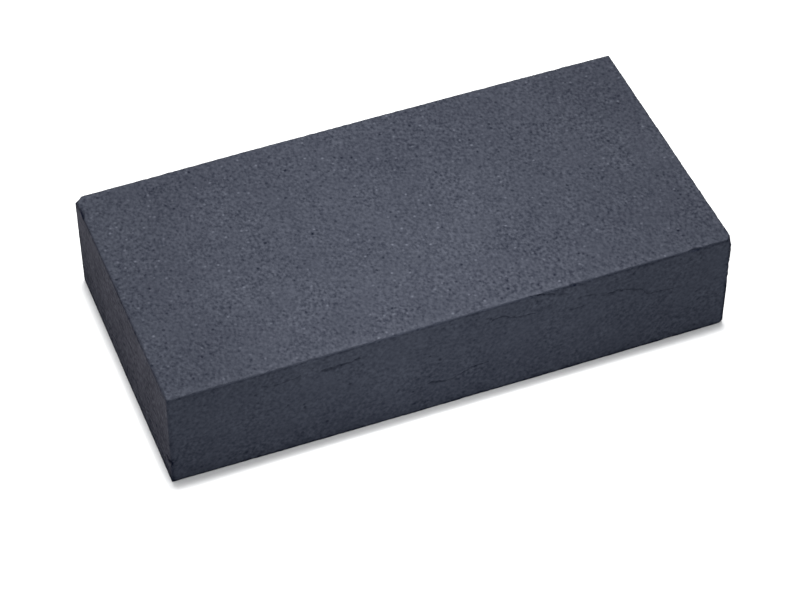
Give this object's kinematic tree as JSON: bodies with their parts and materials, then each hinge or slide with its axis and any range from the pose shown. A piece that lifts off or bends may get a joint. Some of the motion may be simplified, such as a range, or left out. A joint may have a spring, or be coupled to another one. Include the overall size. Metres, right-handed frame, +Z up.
{
  "type": "compressed charcoal block",
  "caption": "Rectangular block of pressed charcoal, lying flat, with eased and slightly chipped edges; a heat-proof surface to solder on, or charcoal to draw with.",
  "frame": {"origin": "centre of the bottom face, on the surface that the block lies on", "axes": "+X along the length, +Y across the width from the front long side to the back one, +Z up through the thickness"},
  "size_m": [0.1396, 0.0698, 0.0286],
  "materials": {
    "charcoal": "matte"
  },
  "bodies": {
    "root": {"charcoal_block": "charcoal"}
  },
  "joints": []
}
